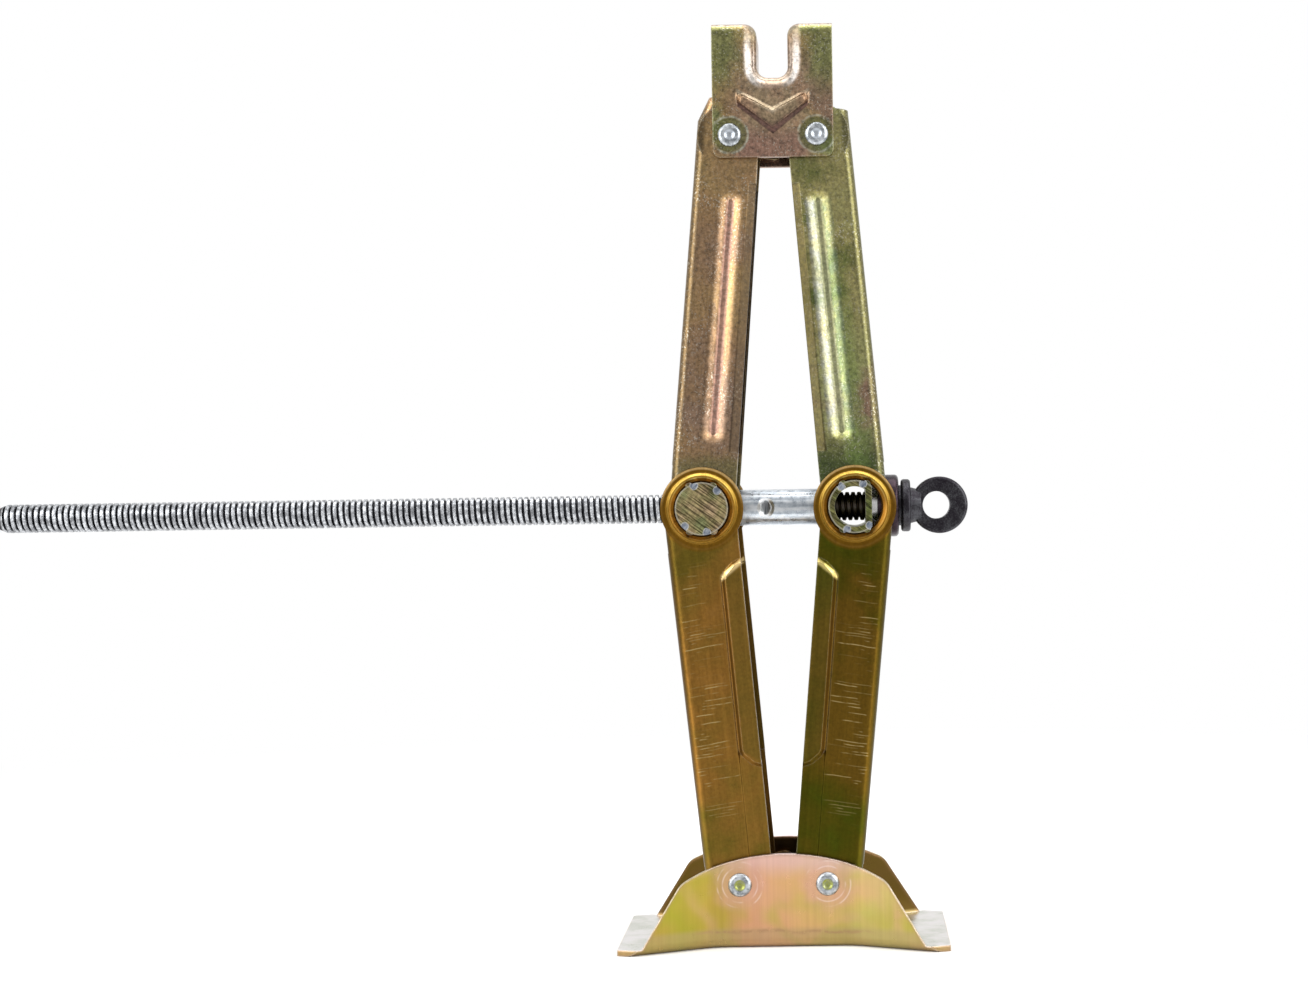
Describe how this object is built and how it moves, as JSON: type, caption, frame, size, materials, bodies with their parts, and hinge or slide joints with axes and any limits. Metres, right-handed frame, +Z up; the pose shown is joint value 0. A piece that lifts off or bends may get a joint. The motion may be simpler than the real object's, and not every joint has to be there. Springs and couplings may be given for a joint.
{
  "type": "scissor jack",
  "caption": "Scissor jack of pressed, yellow-zinc steel: toothed folding arms between a flared base and a grooved saddle, raised by a lead screw with a crank eye.",
  "frame": {"origin": "on the ground, at the middle of the base's flat underside", "axes": "+Z up; +X along the lead screw towards the crank eye; +Y across the jack, away from the side the picture shows"},
  "size_m": [0.407, 0.0738, 0.3813],
  "materials": {
    "gold_zinc": "yellow zinc passivate with gold and pink tints",
    "rose_zinc": "yellow zinc passivate with brown and rose tints",
    "green_zinc": "yellow zinc passivate with green tints",
    "olive_zinc": "yellow zinc passivate with olive and violet tints",
    "trunnion_zinc": "zinc plate over a diagonally ground face",
    "thread_steel": "oiled dark steel",
    "black_oxide": "matt black forging",
    "bright_zinc": "bright zinc",
    "rivet_zinc": "bright zinc",
    "bearing_steel": "ground bearing steel",
    "polished_steel": "polished balls",
    "cage_steel": "pressed sheet steel",
    "blued_steel": "dark heat-coloured pressed steel"
  },
  "bodies": {
    "base": {"base": "gold_zinc", "base_pin_left": "rivet_zinc", "base_pin_right": "rivet_zinc"},
    "lower_left": {"lower_arm_left": "gold_zinc"},
    "lower_right": {"lower_arm_right": "gold_zinc"},
    "nut": {"nut_trunnion": "trunnion_zinc"},
    "upper_left": {"upper_arm_left": "rose_zinc"},
    "saddle": {"saddle": "olive_zinc", "saddle_pin_left": "rivet_zinc", "saddle_pin_right": "rivet_zinc"},
    "bearing_block": {"bearing_trunnion": "trunnion_zinc", "thrust_washer": "bearing_steel", "housing_race": "bearing_steel", "bearing_shell": "blued_steel"},
    "upper_right": {"upper_arm_right": "green_zinc"},
    "screw": {"lead_screw": "thread_steel", "crank_eye": "black_oxide", "stop_sleeve": "bright_zinc", "shaft_race": "bearing_steel"},
    "ball_set": {"thrust_balls": "polished_steel", "ball_cage": "cage_steel"}
  },
  "joints": [
    {"name": "lift", "type": "hinge", "parent": "base", "child": "lower_left", "pos_m": [-0.018, 0, 0.026], "axis": [0, -1, 0], "range_deg": [0, 79]},
    {"name": "lower_right_swing", "type": "hinge", "parent": "base", "child": "lower_right", "pos_m": [0.018, 0, 0.026], "axis": [0, -1, 0], "range_deg": [-79, 0]},
    {"name": "nut_swivel", "type": "hinge", "parent": "lower_left", "child": "nut", "pos_m": [-0.03151, 0, 0.18041], "axis": [0, -1, 0], "range_deg": [-79, 0]},
    {"name": "upper_left_swing", "type": "hinge", "parent": "nut", "child": "upper_left", "pos_m": [-0.03151, 0, 0.18041], "axis": [0, -1, 0], "range_deg": [-79, 0]},
    {"name": "saddle_swivel", "type": "hinge", "parent": "upper_left", "child": "saddle", "pos_m": [-0.018, 0, 0.33482], "axis": [0, -1, 0], "range_deg": [0, 79]},
    {"name": "bearing_swivel", "type": "hinge", "parent": "lower_right", "child": "bearing_block", "pos_m": [0.03151, 0, 0.18041], "axis": [0, -1, 0], "range_deg": [0, 79]},
    {"name": "upper_right_swing", "type": "hinge", "parent": "bearing_block", "child": "upper_right", "pos_m": [0.03151, 0, 0.18041], "axis": [0, -1, 0], "range_deg": [0, 79]},
    {"name": "screw_spin", "type": "hinge", "parent": "bearing_block", "child": "screw", "pos_m": [0.03151, 0, 0.18041], "axis": [1, 0, 0], "continuous": true},
    {"name": "ball_spin", "type": "hinge", "parent": "bearing_block", "child": "ball_set", "pos_m": [0.03151, 0, 0.18041], "axis": [1, 0, 0], "continuous": true}
  ],
  "couplings": [
    {"joint": "lower_right_swing", "follows": "lift", "ratio": -1},
    {"joint": "nut_swivel", "follows": "lift", "ratio": -1},
    {"joint": "upper_left_swing", "follows": "lift", "ratio": -1},
    {"joint": "saddle_swivel", "follows": "lift", "ratio": 1},
    {"joint": "bearing_swivel", "follows": "lift", "ratio": 1},
    {"joint": "upper_right_swing", "follows": "lift", "ratio": 1},
    {"joint": "ball_spin", "follows": "screw_spin", "ratio": 0.5}
  ]
}
